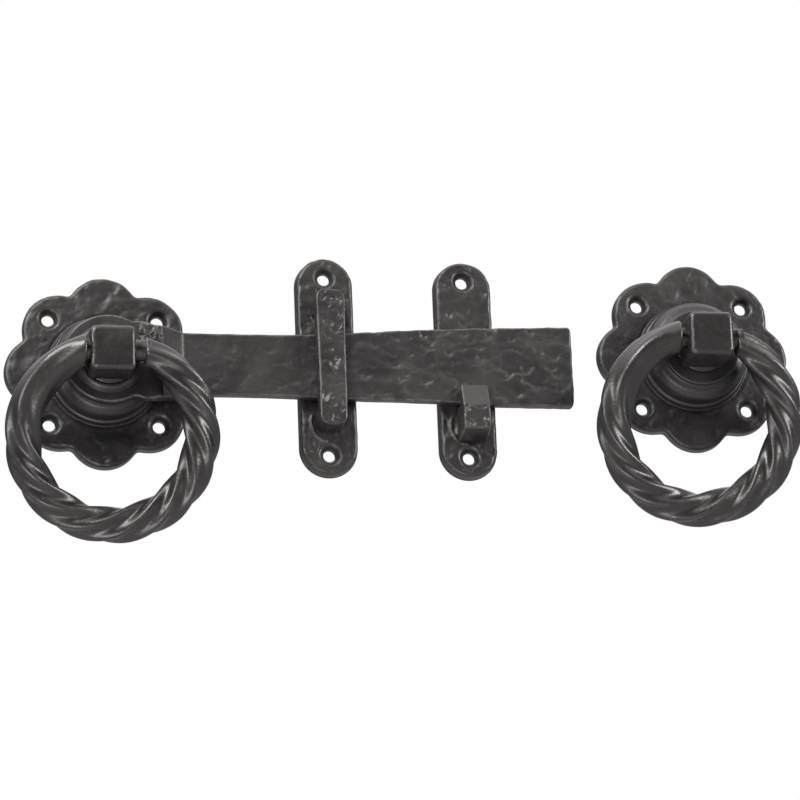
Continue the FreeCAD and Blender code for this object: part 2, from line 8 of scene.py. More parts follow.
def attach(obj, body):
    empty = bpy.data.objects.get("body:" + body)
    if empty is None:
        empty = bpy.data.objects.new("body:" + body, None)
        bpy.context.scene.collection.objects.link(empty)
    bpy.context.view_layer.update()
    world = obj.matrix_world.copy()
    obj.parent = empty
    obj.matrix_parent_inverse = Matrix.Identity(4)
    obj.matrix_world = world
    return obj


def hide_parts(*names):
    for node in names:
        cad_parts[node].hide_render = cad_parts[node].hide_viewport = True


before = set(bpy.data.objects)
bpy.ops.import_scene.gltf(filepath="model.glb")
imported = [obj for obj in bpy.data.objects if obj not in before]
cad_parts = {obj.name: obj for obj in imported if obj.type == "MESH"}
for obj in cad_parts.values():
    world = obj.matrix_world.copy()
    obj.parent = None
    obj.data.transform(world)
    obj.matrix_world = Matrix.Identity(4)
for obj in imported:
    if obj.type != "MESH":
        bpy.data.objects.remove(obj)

# Ring gate latch.  The gate face is y = 0, the castings stand towards -Y, and lengths below are in mm.
# Depth means distance in front of the gate face.

MM = 0.001
FULL_TURN = 2 * math.pi

# The lattice that all casting marks come from is turned off the axes, so no row of marks runs square.
TILT = np.array(Matrix.Rotation(math.radians(43), 3, Vector((0.5, 1.0, 0.7))))


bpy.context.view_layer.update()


# ---------------------------------------------------------------- random fields

AXIS_FACTORS = (73856093, 19349663, 83492791)
SEED_FACTOR = 2654435761
STIR_FACTOR = 0x45D9F3B
WORD = 0xFFFFFFFF


def lattice(cells, seed):
    """A repeatable number from 0 to 1 for every whole-number point: its coordinates mixed bit by bit."""
    x, y, z = (cells[..., axis].astype(np.int64) * factor for axis, factor in enumerate(AXIS_FACTORS))
    mixed = (x ^ y ^ z ^ (seed * SEED_FACTOR)) & WORD
    for _ in range(2):
        mixed = (((mixed >> 16) ^ mixed) * STIR_FACTOR) & WORD
    return ((mixed >> 16) ^ mixed) / float(WORD)


def lumps(points, size, seed):
    """Smooth swells from -1 to 1: random values a given size apart on a tilted lattice, in a cubic blend."""
    scaled = points @ TILT / size
    base = np.floor(scaled)
    part = scaled - base
    part = part * part * (3 - 2 * part)
    total = np.zeros(points.shape[:-1])
    for corner in np.ndindex(2, 2, 2):
        weight = np.prod(np.where(np.array(corner) == 1, part, 1 - part), axis=-1)
        total += weight * lattice(base + np.array(corner), seed)
    return 2 * total - 1


def hollows(points, size, seed, share):
    """Round pits, 0 outside and 1 at the middle: one of random place and width in a share of the cells."""
    scaled = points / size
    base = np.floor(scaled)
    depth = np.zeros(points.shape[:-1])
    for step in np.ndindex(3, 3, 3):
        cell = base + np.array(step) - 1
        shift = np.stack([lattice(cell, seed + axis) for axis in (1, 2, 3)], axis=-1)
        away = np.linalg.norm(scaled - cell - 0.2 - 0.6 * shift, axis=-1)
        reach = 0.25 + 0.45 * lattice(cell, seed + 4)
        there = lattice(cell, seed + 5) < share
        depth = np.maximum(depth, np.where(there, np.clip(1 - (away / reach) ** 2, 0, 1) ** 2, 0))
    return depth


def pocks(points, size, seed):
    """Irregular soft pits, 0 outside and 1 at their floors: where swells of two sizes add up high."""
    total = 0.65 * lumps(points, size, seed) + 0.35 * lumps(points, size / 2, seed + 1)
    return np.clip(total / 0.75 - 0.05, 0, 1) ** 1.4


def swells(marks, seed):
    """Swells of several sizes added up; a mark is a height and size in mm, a step of seed and its points."""
    return sum(height * lumps(points, size, seed + step) for height, size, step, points in marks)


def ease(value, low, high):
    """0 below low, 1 above high and a smooth step between."""
    part = np.clip((value - low) / (high - low), 0, 1)
    return part * part * (3 - 2 * part)


# ---------------------------------------------------------------- meshes from grids

def grid_normals(grid, loop_rows, loop_columns):
    """Unit normals of a grid of points: the cross product of its two central differences."""
    def slope(axis, closed):
        if closed:
            return np.roll(grid, -1, axis=axis) - np.roll(grid, 1, axis=axis)
        return np.gradient(grid, axis=axis)
    normal = np.cross(slope(0, loop_rows), slope(1, loop_columns))
    length = np.linalg.norm(normal, axis=-1, keepdims=True)
    return normal / np.maximum(length, 1e-9)


def outward_bend(grid, normal, loop_rows, loop_columns):
    """How sharply a grid bends outwards at each point, in 1/mm, along its rows and its columns."""
    total = np.zeros(grid.shape[:2])
    for axis, closed in ((0, loop_rows), (1, loop_columns)):
        if closed:
            after = np.roll(grid, -1, axis=axis) - grid
            before = np.roll(grid, 1, axis=axis) - grid
        else:
            step = np.diff(grid, axis=axis)
            after = np.concatenate([step, np.take(step, [-1], axis=axis)], axis=axis)
            before = -np.concatenate([np.take(step, [0], axis=axis), step], axis=axis)
        far = np.maximum(np.linalg.norm(after, axis=-1), 0.02)
        near = np.maximum(np.linalg.norm(before, axis=-1), 0.02)
        bend = after / far[..., None] + before / near[..., None]
        total -= np.sum(bend * normal, axis=-1) / ((far + near) / 2)
    return total


def compact(points, quads, triangles):
    """The same mesh without the points that no face uses."""
    used = np.unique(np.concatenate([quads.ravel(), triangles.ravel()]))
    place = np.zeros(len(points), dtype=np.int64)
    place[used] = np.arange(len(used))
    return used, place[quads], place[triangles]


def make_piece(name, points, quads, triangles, wear_and_highlight, body, finish, nodes=()):
    """A mesh object from points in mm and faces, turned outwards, on a body; finish names its material."""
    used, quads, triangles = compact(points, quads, triangles)
    points, wear_and_highlight = points[used], wear_and_highlight[used]
    fan = np.concatenate([quads[:, [0, 1, 2]], quads[:, [0, 2, 3]], triangles])
    a, b, c = points[fan[:, 0]], points[fan[:, 1]], points[fan[:, 2]]
    if np.sum(a * np.cross(b, c)) < 0:
        quads, triangles = quads[:, ::-1], triangles[:, ::-1]
    mesh = bpy.data.meshes.new(name)
    mesh.vertices.add(len(points))
    mesh.vertices.foreach_set("co", (points * MM).ravel())
    corner = np.concatenate([quads.ravel(), triangles.ravel()]).astype(np.int32)
    mesh.loops.add(len(corner))
    mesh.loops.foreach_set("vertex_index", corner)
    starts = np.concatenate([np.arange(len(quads)) * 4, len(quads) * 4 + np.arange(len(triangles)) * 3])
    mesh.polygons.add(len(starts))
    mesh.polygons.foreach_set("loop_start", starts.astype(np.int32))
    mesh.update(calc_edges=True)
    mesh.polygons.foreach_set("use_smooth", np.ones(len(starts), dtype=bool))
    # Share of edge grey at each point: partly rubbed wear, partly painted edge highlight.
    mesh.attributes.new("wear_and_highlight", "FLOAT", "POINT").data.foreach_set("value", wear_and_highlight.astype(np.float32))
    mesh.validate()
    piece = bpy.data.objects.new(name.replace(" ", "_"), mesh)
    bpy.context.scene.collection.objects.link(piece)
    mesh.materials.append(materials[finish])
    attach(piece, body)
    if nodes:
        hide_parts(*nodes)
    return piece


def skin_faces(rows, columns):
    """Faces of a stack of closed loops, with the index of one extra point for each closed end."""
    index = np.arange(rows * columns).reshape(rows, columns)
    after = np.roll(index, -1, axis=1)
    quads = np.stack([index[:-1], after[:-1], after[1:], index[1:]], axis=-1).reshape(-1, 4)
    first, last = rows * columns, rows * columns + 1
    start = np.stack([np.full(columns, first), after[0], index[0]], axis=-1)
    end = np.stack([np.full(columns, last), index[-1], after[-1]], axis=-1)
    return quads, np.concatenate([start, end])


def make_skin(name, loops, rough, body, finish, nodes=(), edge_wear_and_highlight=(0.3, 1.0)):
    """A closed skin over a stack of loops, loops[i, j] being point j of loop i, roughened along normals."""
    normal = grid_normals(loops, False, True)
    # The outward bend sets how much of each edge is painted grey: partly wear, partly painted highlight.
    wear_and_highlight = ease(outward_bend(loops, outward(loops, normal), False, True), *edge_wear_and_highlight)
    shaped = loops + outward(loops, normal) * rough(loops)[..., None]
    points = np.concatenate([shaped.reshape(-1, 3), shaped[[0, -1]].mean(axis=1)])
    quads, triangles = skin_faces(*loops.shape[:2])
    wear_and_highlight = np.concatenate([wear_and_highlight.ravel(), [0, 0]])
    return make_piece(name, points, quads, triangles, wear_and_highlight, body, finish, nodes)


def outward(loops, normal):
    """Normals of a stack of loops, all turned the way that makes the enclosed volume positive."""
    area = np.cross(np.roll(loops, -1, axis=1) - loops, np.concatenate([loops[1:], loops[-1:]]) - loops)
    volume = np.sum(loops * area)
    return normal * np.sign(volume) * np.sign(np.sum(area * normal))


def sheet_faces(keep, closed):
    """Faces of a solid between two sheets of the same grid, where keep marks the filled cells.

    The front sheet's cells face one way and the back sheet's the other, and each edge where a filled
    cell has no filled neighbour is closed by a strip from the front sheet to the back sheet.
    """
    cells, columns = keep.shape[0], keep.shape[1] + 1
    rows = cells if closed else cells + 1
    index = np.arange(rows * columns).reshape(rows, columns)
    below = np.roll(index, -1, axis=0) if closed else index[1:]
    above = index if closed else index[:-1]
    a, b, c, d = above[:, :-1], below[:, :-1], below[:, 1:], above[:, 1:]
    back = rows * columns
    front = np.stack([a, b, c, d], axis=-1)[keep]
    faces = [front, back + front[:, ::-1]]
    padded = np.pad(keep, ((1, 1), (1, 1)))
    if closed:
        padded[0, 1:-1], padded[-1, 1:-1] = keep[-1], keep[0]
    sides = (
        (a, b, padded[1:-1, :-2]), (c, d, padded[1:-1, 2:]),
        (b, c, padded[2:, 1:-1]), (d, a, padded[:-2, 1:-1]),
    )
    for start, end, filled in sides:
        free = keep & ~filled
        p, q = start[free], end[free]
        faces.append(np.stack([q, p, back + p, back + q], axis=-1))
    return np.concatenate(faces)


def round_hole(flat, keep, middle, along, across, centre, radius, cells, patch):
    """Opens a round hole in a flat grid: the square of cells round the middle is cut out, its rim is put on
    a circle, and the grid between the circle and the edge of a larger square is spread evenly."""
    i = np.arange(middle[0] - patch, middle[0] + patch + 1)
    j = np.arange(middle[1] - patch, middle[1] + patch + 1)
    di, dj = np.meshgrid(i - middle[0], j - middle[1], indexing="ij")
    ring = np.maximum(abs(di), abs(dj))
    turn = di[..., None] * np.array(along) + dj[..., None] * np.array(across)
    turn = turn / np.maximum(np.linalg.norm(turn, axis=-1, keepdims=True), 1e-9)
    part = np.clip((ring - cells) / (patch - cells), 0, 1)[..., None]
    spot = np.ix_(i % flat.shape[0], j)
    circle = np.array(centre) + radius * turn
    blend = part * part * (1.6 - 0.6 * part)
    flat[spot] = circle + (flat[spot] - circle) * blend + turn * (part - blend) * patch * 0.1
    inside = np.ix_(np.arange(middle[0] - cells, middle[0] + cells) % keep.shape[0],
                    np.arange(middle[1] - cells, middle[1] + cells))
    keep[inside] = False


def make_plate(name, front, back, keep, closed, rough, node):
    """A rose or bracket plate between a front and a back sheet, its front roughened along its normals."""
    normal = grid_normals(front, closed, False)
    towards = np.sign(np.sum(normal[..., 1] * (front[..., 1] < -1)))
    normal = normal * (-towards)
    shaped = front + normal * rough(front)[..., None]
    # The bend of the roughened front sets the edge grey, so its ridges, such as the fillet bead, are painted
    # lighter: partly wear, partly painted highlight.
    wear_and_highlight = ease(outward_bend(shaped, normal, closed, False), 1.0, 3.0)
    points = np.concatenate([shaped.reshape(-1, 3), back.reshape(-1, 3)])
    wear_and_highlight = np.concatenate([wear_and_highlight.ravel(), np.zeros(back.shape[0] * back.shape[1])])
    none = np.zeros((0, 3), dtype=np.int64)
    return make_piece(name, points, sheet_faces(keep, closed), none, wear_and_highlight, "plates", "cast_black", (node,))


def profile(corners, steps):
    """Points spread evenly along a broken line through the corners."""
    corners = np.array(corners, float)
    run = np.concatenate([[0], np.cumsum(np.linalg.norm(np.diff(corners, axis=0), axis=1))])
    at = np.linspace(0, run[-1], steps)
    at = np.sort(np.concatenate([at, run[1:-1]]))
    return np.stack([np.interp(at, run, corners[:, k]) for k in range(corners.shape[1])], axis=-1)


def rounded(corners, radius, steps=5):
    """A broken line with each inner corner replaced by a short smooth bend of the given reach."""
    corners = np.array(corners, float)
    path = [corners[0]]
    for before, corner, after in zip(corners[:-2], corners[1:-1], corners[2:]):
        reach = min(radius, np.linalg.norm(corner - before) / 2.01, np.linalg.norm(after - corner) / 2.01)
        start = corner + (before - corner) / np.linalg.norm(before - corner) * reach
        end = corner + (after - corner) / np.linalg.norm(after - corner) * reach
        for t in np.linspace(0, 1, steps):
            path.append((1 - t) ** 2 * start + 2 * t * (1 - t) * corner + t * t * end)
    path.append(corners[-1])
    return np.array(path)


# ---------------------------------------------------------------- finishes

def new_group(name, inputs, outputs):
    """An empty shader node group with named sockets and its two end nodes."""
    group = bpy.data.node_groups.new(name, "ShaderNodeTree")
    for label, kind, value in inputs:
        socket = group.interface.new_socket(label, in_out="INPUT", socket_type=kind)
        if value is not None:
            socket.default_value = value
    for label, kind in outputs:
        group.interface.new_socket(label, in_out="OUTPUT", socket_type=kind)
    return group, group.nodes.new("NodeGroupInput"), group.nodes.new("NodeGroupOutput")


def noise(tree, vector, scale, detail, roughness=0.55):
    """A noise texture on a vector; scale is a number or a socket."""
    node = tree.nodes.new("ShaderNodeTexNoise")
    node.inputs["Detail"].default_value = detail
    node.inputs["Roughness"].default_value = roughness
    tree.links.new(vector, node.inputs["Vector"])
    feed(tree, scale, node.inputs["Scale"])
    return node.outputs["Fac"]


def feed(tree, value, socket):
    """Link a socket or set a number."""
    if isinstance(value, (int, float)):
        socket.default_value = value
    else:
        tree.links.new(value, socket)


def math_node(tree, kind, first, second, clamp=False):
    """One arithmetic node."""
    node = tree.nodes.new("ShaderNodeMath")
    node.operation = kind
    node.use_clamp = clamp
    feed(tree, first, node.inputs[0])
    feed(tree, second, node.inputs[1])
    return node.outputs[0]


def span(tree, value, low, high, to_low=0.0, to_high=1.0):
    """A value mapped smoothly from one span to another."""
    node = tree.nodes.new("ShaderNodeMapRange")
    node.interpolation_type = "SMOOTHSTEP"
    for label, number in (("From Min", low), ("From Max", high), ("To Min", to_low), ("To Max", to_high)):
        node.inputs[label].default_value = number
    feed(tree, value, node.inputs["Value"])
    return node.outputs["Result"]


def mix_colour(tree, factor, first, second):
    """A mix of two colours, each a socket or an RGB triple."""
    node = tree.nodes.new("ShaderNodeMix")
    node.data_type = "RGBA"
    feed(tree, factor, node.inputs[0])
    for value, socket in ((first, node.inputs[6]), (second, node.inputs[7])):
        if isinstance(value, tuple):
            socket.default_value = (*value, 1.0)
        else:
            tree.links.new(value, socket)
    return node.outputs[2]


def make_pitting():
    """Skin of a sand casting under paint: slow swells, fine grain and scattered small pits."""
    group, start, end = new_group(
        "casting skin",
        [
            ("Vector", "NodeSocketVector", None),
            ("Scale", "NodeSocketFloat", 1.0),
            ("Pits", "NodeSocketFloat", 1.0),
        ],
        [("Height", "NodeSocketFloat"), ("Pit mask", "NodeSocketFloat")],
    )
    scaled = group.nodes.new("ShaderNodeVectorMath")
    scaled.operation = "SCALE"
    group.links.new(start.outputs["Vector"], scaled.inputs[0])
    group.links.new(start.outputs["Scale"], scaled.inputs["Scale"])
    vector = scaled.outputs[0]
    swell = noise(group, vector, 190.0, 2.0)
    grain = noise(group, vector, 900.0, 3.0, 0.6)
    cells = group.nodes.new("ShaderNodeTexVoronoi")
    cells.inputs["Scale"].default_value = 420.0
    group.links.new(vector, cells.inputs["Vector"])
    choice = span(group, noise(group, vector, 120.0, 2.0), 0.52, 0.68)
    pit = math_node(group, "MULTIPLY", span(group, cells.outputs["Distance"], 0.35, 0.1), choice)
    pit = math_node(group, "MULTIPLY", pit, start.outputs["Pits"])
    height = math_node(group, "ADD", swell, math_node(group, "MULTIPLY", grain, 0.28))
    height = math_node(group, "SUBTRACT", height, math_node(group, "MULTIPLY", pit, 0.35))
    group.links.new(height, end.inputs["Height"])
    group.links.new(pit, end.inputs["Pit mask"])
    return group


def make_wear_and_highlight():
    """Rubbed edges and painted edge highlight: the edge value broken up by noise, times an amount."""
    group, start, end = new_group(
        "edge wear and painted highlight",
        [
            ("Vector", "NodeSocketVector", None),
            ("Edge", "NodeSocketFloat", 0.0),
            ("Amount", "NodeSocketFloat", 1.0),
        ],
        [("Mask", "NodeSocketFloat")],
    )
    breaks = span(group, noise(group, start.outputs["Vector"], 180.0, 4.0, 0.65), 0.36, 0.62)
    mask = math_node(group, "MULTIPLY", start.outputs["Edge"], breaks)
    mask = math_node(group, "MULTIPLY", mask, start.outputs["Amount"], clamp=True)
    group.links.new(mask, end.inputs["Mask"])
    return group


def use_group(tree, group, **inputs):
    """A group node with its inputs fed; an underscore in a name stands for a space."""
    node = tree.nodes.new("ShaderNodeGroup")
    node.node_tree = group
    for label, value in inputs.items():
        feed(tree, value, node.inputs[label.replace("_", " ")])
    return node


def new_material(name):
    """A material with its Principled shader and the object's own coordinates."""
    material = bpy.data.materials.new(name)
    material.use_nodes = True
    tree = material.node_tree
    shader = next(node for node in tree.nodes if node.type == "BSDF_PRINCIPLED")
    place = tree.nodes.new("ShaderNodeTexCoord").outputs["Object"]
    return material, tree, shader, place


def add_bump(tree, shader, height, distance, strength):
    """A bump from a height to the shader's normal."""
    bump = tree.nodes.new("ShaderNodeBump")
    bump.inputs["Distance"].default_value = distance
    bump.inputs["Strength"].default_value = strength
    tree.links.new(height, bump.inputs["Height"])
    tree.links.new(bump.outputs["Normal"], shader.inputs["Normal"])


COAT_DARK, COAT_LIGHT = (0.0050, 0.0043, 0.0043), (0.0110, 0.0096, 0.0096)
# Painted shade: the pits are painted darker than the coat, standing for the shade inside them.
PAINTED_PIT_SHADE = (0.003, 0.003, 0.003)
# Edge grey: partly rubbed coat, partly a painted highlight along edges and ridges.
RUBBED_AND_HIGHLIGHT_GREY = (0.10, 0.095, 0.09)


def make_black_coat(pitting, edge_wear_and_highlight, name, smooth, dull):
    """Black powder coat on cast iron between two roughnesses, thinner and greyer along the edges, the grey
    partly rubbed wear and partly a painted edge highlight, and darkened in its pits as painted shade.
    """
    material, tree, shader, place = new_material(name)
    skin = use_group(tree, pitting, Vector=place, Scale=1.0, Pits=1.0)
    edge = tree.nodes.new("ShaderNodeAttribute")
    edge.attribute_name = "wear_and_highlight"
    rub_and_highlight = use_group(tree, edge_wear_and_highlight, Vector=place, Edge=edge.outputs["Fac"], Amount=0.4)
    cloud = noise(tree, place, 45.0, 4.0, 0.6)
    colour = mix_colour(tree, span(tree, cloud, 0.3, 0.7), COAT_DARK, COAT_LIGHT)
    # Painted shade: the pits are darkened towards near black where shade would fall in them.
    colour = mix_colour(tree, skin.outputs["Pit mask"], colour, PAINTED_PIT_SHADE)
    # Edge grey: partly rubbed wear, partly painted edge highlight.
    colour = mix_colour(tree, rub_and_highlight.outputs["Mask"], colour, RUBBED_AND_HIGHLIGHT_GREY)
    tree.links.new(colour, shader.inputs["Base Color"])
    sheen = math_node(tree, "ADD", span(tree, noise(tree, place, 70.0, 3.0), 0.3, 0.7, smooth, dull),
                      math_node(tree, "MULTIPLY", skin.outputs["Pit mask"], 0.2))
    tree.links.new(sheen, shader.inputs["Roughness"])
    shader.inputs["Specular Tint"].default_value = (1.0, 0.945, 0.94, 1.0)
    add_bump(tree, shader, skin.outputs["Height"], 0.0008, 0.25)
    return material


def make_steel(pitting, name, dark, light):
    """Dull steel between two shades, with faint marks."""
    material, tree, shader, place = new_material(name)
    skin = use_group(tree, pitting, Vector=place, Scale=1.6, Pits=0.4)
    shade = noise(tree, place, 160.0, 3.0)
    colour = mix_colour(tree, span(tree, shade, 0.3, 0.7), dark, light)
    tree.links.new(colour, shader.inputs["Base Color"])
    tree.links.new(span(tree, shade, 0.3, 0.7, 0.30, 0.46), shader.inputs["Roughness"])
    shader.inputs["Metallic"].default_value = 1.0
    add_bump(tree, shader, skin.outputs["Height"], 0.0003, 0.3)
    return material


pitting_group, wear_and_highlight_group = make_pitting(), make_wear_and_highlight()
materials = {
    "cast_black": make_black_coat(pitting_group, wear_and_highlight_group, "dull black coat", 0.38, 0.49),
    "satin_black": make_black_coat(pitting_group, wear_and_highlight_group, "satin black coat", 0.30, 0.40),
    "plain_steel": make_steel(pitting_group, "dull steel", (0.16, 0.155, 0.15), (0.34, 0.33, 0.32)),
    "blackened_steel": make_steel(
        pitting_group, "blackened steel", (0.018, 0.017, 0.017), (0.075, 0.070, 0.067)),
}


# ---------------------------------------------------------------- roses

PLATE = 5.0
SCREW_HOLE = 2.5
HOLE_CELLS = 5
SCREW = 21.75
BORE = 8.05
PETAL_CENTRE = 25.3
PETAL_ROUND = 14.2
PETAL_JOIN = 26
ROSE_RIM = 1.7


def rim(share, radius):
    """Inset, depth and fall along a rim: a quarter circle over the first half, then straight to the back."""
    lean = np.clip(share * 2, 0, 1) * math.pi / 2
    fall = np.clip(share * 2 - 1, 0, 1)
    return radius * (1 - np.sin(lean)), PLATE - radius * (1 - np.cos(lean)) - fall * (PLATE - radius), fall


def petal_edge(angle):
    """Distance to the edge of eight round petals: the larger of two neighbours' circles, softly joined."""
    quarter = math.pi / 4
    near = np.abs((angle + quarter / 2) % quarter - quarter / 2)
    total = 0
    for away in (near, quarter - near):
        inside = PETAL_ROUND ** 2 - (PETAL_CENTRE * np.sin(away)) ** 2
        total = total + (PETAL_CENTRE * np.cos(away) + np.sqrt(np.maximum(inside, 0))) ** PETAL_JOIN
    return total ** (1 / PETAL_JOIN) - 0.25


def screw_dish(flat, centres, depth):
    """Depth of a plate with a dish round each screw hole: the lower of plate and cone, softly joined."""
    for centre in centres:
        away = np.linalg.norm(flat - np.array(centre), axis=-1)
        seat = 2.4 + 1.35 * (away - SCREW_HOLE)
        seat = seat + 0.30 * np.exp(-((away - 3.6) / 0.4) ** 2)
        depth = np.where(away < 6.5, -np.logaddexp(-depth * 5, -seat * 5) / 5, depth)
    return depth


def calm_at_holes(right, up, centres):
    """A share of the roughness: 0.15 at each screw hole, rising to 1 clear of its dish."""
    share = 1.0
    for centre in centres:
        share = share * (0.15 + 0.85 * ease(np.hypot(right - centre[0], up - centre[1]), 3.5, 6.0))
    return share


def make_rose(name, across, height, seed, node):
    """Rose: at each angle a profile from the bore over the collar and the petal to the rounded rim."""
    angle = np.arange(400) / 400 * FULL_TURN + FULL_TURN / 800
    collar = profile(rounded([
        (BORE, 18.0), (15.7, 18.0), (15.75, 16.3), (16.7, 15.9), (18.3, 15.4), (20.5, 13.0), (21.2, 9.6),
        (20.7, 7.3), (21.9, 6.9), (22.1, 5.5), (22.5, 4.75), (23.1, 4.75), (24.0, 5.0),
    ], 0.7), 26)
    plate_steps, rim_steps = 32, 10
    edge = petal_edge(angle)
    share = np.linspace(0, 1, plate_steps + 1)[1:]
    turn = np.linspace(0, 1, rim_steps + 1)[1:]
    inset, rim_depth, _ = rim(turn, ROSE_RIM)
    plate_edge = edge - ROSE_RIM - 0.22
    radius = np.concatenate([
        np.repeat(collar[None, :, 0], len(angle), axis=0),
        collar[-1, 0] + (plate_edge[:, None] - collar[-1, 0]) * share,
        edge[:, None] - inset,
    ], axis=1)
    depth = np.concatenate([collar[:, 1], np.full(plate_steps, PLATE), rim_depth])
    flat = np.stack([radius * np.cos(angle)[:, None], radius * np.sin(angle)[:, None]], axis=-1)
    keep = np.ones((len(angle), flat.shape[1] - 1), dtype=bool)
    centres = [(i * SCREW, j * SCREW) for i in (-1, 1) for j in (-1, 1)]
    for centre in centres:
        bearing = math.atan2(centre[1], centre[0]) % FULL_TURN
        row = int(np.argmin(np.abs(angle - bearing)))
        column = int(np.argmin(np.abs(radius[row] - math.hypot(*centre))))
        out = np.array([math.cos(bearing), math.sin(bearing)])
        round_hole(flat, keep, (row, column), (-out[1], out[0]), out, centre, SCREW_HOLE, HOLE_CELLS, 12)
    depth = np.repeat(depth[None, :], len(angle), axis=0)
    plate = slice(len(collar), len(collar) + plate_steps)
    depth[:, plate] = screw_dish(flat[:, plate], centres, depth[:, plate])
    front = np.stack([flat[..., 0] + across, -depth, flat[..., 1] + height], axis=-1)
    steps = len(collar)
    inner = profile([(BORE, 12.0), (13.5, 12.0), (13.5, 0.0), (24.0, 0.0)], steps - 2)
    back_radius = radius.copy()
    back_radius[:, :steps] = inner[None, :steps, 0]
    back_radius[:, -rim_steps:] = edge[:, None] - 1.5 * (1 - turn[None, :])
    back_depth = np.zeros(radius.shape)
    back_depth[:, :steps] = inner[None, :steps, 1]
    back_flat = np.stack([
        back_radius * np.cos(angle)[:, None], back_radius * np.sin(angle)[:, None],
    ], axis=-1)
    back_flat[:, plate] = flat[:, plate]
    back = np.stack([back_flat[..., 0] + across, -back_depth, back_flat[..., 1] + height], axis=-1)

    def rough(points):
        """Swells and pits on the plate, fading to nothing on the turned collar and at the holes."""
        out = np.hypot(points[..., 0] - across, points[..., 2] - height)
        free = ease(out, 22, 24.5) * calm_at_holes(points[..., 0] - across, points[..., 2] - height, centres)
        free = free * ease(-points[..., 1], 2.8, 4.7)
        swell = swells(((0.28, 6.0, 0, points), (0.18, 3.2, 1, points), (0.05, 1.6, 7, points)), seed)
        return free * (swell - 0.45 * pocks(points, 3.6, seed + 2) - 0.05)

    return make_plate(name, front, back, keep, True, rough, node)


# ---------------------------------------------------------------- square-headed bosses

HEAD_FRONT = 37.35
HEAD_HALF = 9.0
HEAD_FLARE = 0.30
HEAD_ROUND = 2.0
NECK = 10.8
NECK_LENGTH = 1.6
HUB_BACK = 18.2


def square_reach(angle, half, corner):
    """Distance to the edge of a rounded square: a flat side, then a circle about the corner's centre."""
    fold = np.abs((angle + math.pi / 4) % (math.pi / 2) - math.pi / 4)
    inner = half - corner
    flat = half / np.cos(fold)
    under = corner ** 2 - inner ** 2 * (1 - np.sin(2 * fold))
    bend = inner * (np.cos(fold) + np.sin(fold)) + np.sqrt(np.maximum(under, 0))
    return np.where(half * np.tan(fold) <= inner, flat, bend)


def make_boss(name, head_base, hub, across, height, seed, body, node):
    """Boss: rounded squares and circles stacked from the front of the head to the floor of its socket.

    Each entry of the stack is half a width, a corner's radius and a depth.  hub is true where a square
    below the neck grips the latch bar's hub.
    """
    turn = np.arange(320) / 320 * FULL_TURN
    angle = turn + 0.16 * np.sin(4 * turn)
    neck_end = head_base - NECK_LENGTH
    stack = [(0.4, 0.4, HEAD_FRONT), (3.0, 0.8, HEAD_FRONT), (5.4, 1.4, HEAD_FRONT)]
    stack.append((6.7, 1.6, HEAD_FRONT - 0.02))
    for t in np.linspace(0, 1, 9)[1:]:
        lean = t * math.pi / 2
        half = HEAD_HALF - HEAD_ROUND + HEAD_ROUND * math.sin(lean)
        stack.append((half, 1.7 + 0.9 * t, HEAD_FRONT - HEAD_ROUND * (1 - math.cos(lean))))
    for t in np.linspace(0, 1, 26)[1:]:
        side_length = HEAD_FRONT - HEAD_ROUND - head_base - 0.3
        stack.append((HEAD_HALF + HEAD_FLARE * t, 2.6, HEAD_FRONT - HEAD_ROUND - t * side_length))
    stack += [(9.2, 2.0, head_base + 0.12), (8.6, 2.0, head_base), (10.3, 10.3, head_base)]
    stack += [(10.65, 10.65, head_base - 0.12), (NECK, NECK, head_base - 0.5), (NECK, NECK, neck_end)]
    if hub:
        stack += [(7.0, 0.4, neck_end), (7.0, 0.4, HUB_BACK)]
    stack += [(8.0, 8.0, HUB_BACK if hub else neck_end), (8.0, 8.0, 10.2), (7.2, 7.2, 10.2)]
    stack += [(7.2, 7.2, 8.95), (8.0, 8.0, 8.95), (8.0, 8.0, 2.3), (7.7, 7.7, 2.0)]
    stack += [(4.1, 0.3, 2.0), (4.1, 0.3, 16.0), (1.0, 0.3, 16.0)]
    stack = np.array(stack)
    reach = square_reach(angle[None, :], stack[:, :1], stack[:, 1:2])
    loops = np.stack([
        across + reach * np.cos(angle),
        np.repeat(-stack[:, 2:3], len(angle), axis=1),
        height + reach * np.sin(angle),
    ], axis=-1)

    def rough(points):
        """Soft dents on the head only."""
        on_head = ease(-points[..., 1], head_base + 0.5, head_base + 2.5)
        return on_head * (0.10 * lumps(points, 6.0, seed) + 0.05 * lumps(points, 2.4, seed + 1) - 0.06)

    return make_skin(name, loops, rough, body, "satin_black", (node,), (0.45, 1.2))


# ---------------------------------------------------------------- twisted rings

RING = 35.0
ROD = 7.4
LOBES = 5
LOBE_DEPTH = 1.65
HALF_GAP = 11.5
TWIST_TURNS = 193.0 / 78.0


